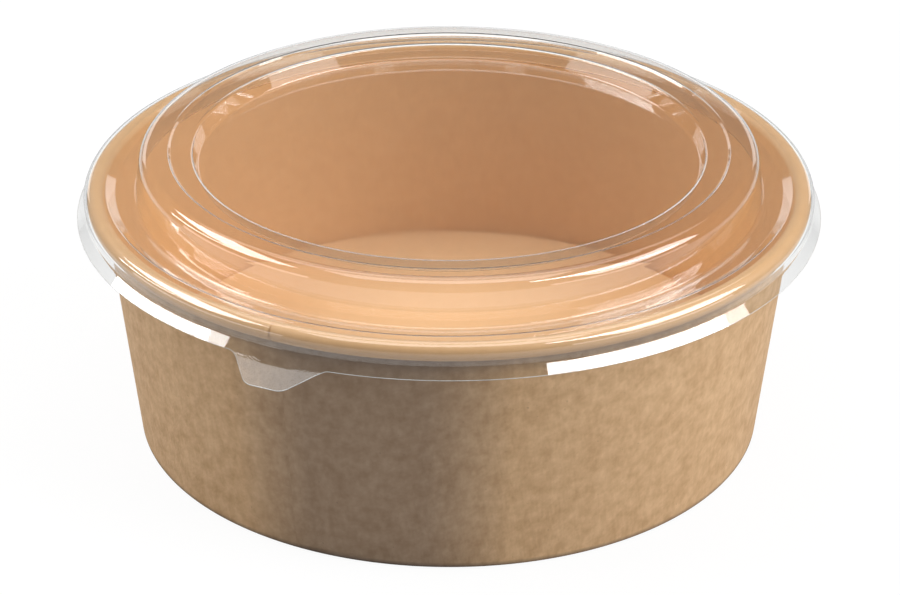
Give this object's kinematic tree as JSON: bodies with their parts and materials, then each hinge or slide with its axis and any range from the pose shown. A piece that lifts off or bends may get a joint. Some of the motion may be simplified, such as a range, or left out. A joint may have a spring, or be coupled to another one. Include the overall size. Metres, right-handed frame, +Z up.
{
  "type": "kraft bowl with lid",
  "caption": "Round tapered kraft board bowl with rolled rim and recessed bottom, closed by a clear press-on lid with raised ring deck, sunk centre panel and pull tab.",
  "frame": {"origin": "centre of the foot, on the plane that the bowl stands on", "axes": "+Z up along the bowl's axis, -Y the front, with the pull tab at the front a little to -X"},
  "size_m": [0.1906, 0.1906, 0.0768],
  "materials": {
    "kraft_board": "matt uncoated kraft outside, thin clear coating inside",
    "kraft_lining": "kraft with a thin clear coating",
    "clear_film": "clear glossy thermoformed film"
  },
  "bodies": {
    "bowl": {"sidewall": "kraft_board", "bottom_disc": "kraft_lining"},
    "lid": {"lid": "clear_film"}
  },
  "joints": [
    {"name": "lid_lift", "type": "slide", "parent": "bowl", "child": "lid", "axis": [0, 0, 1], "range_m": [0, 0.12]}
  ]
}
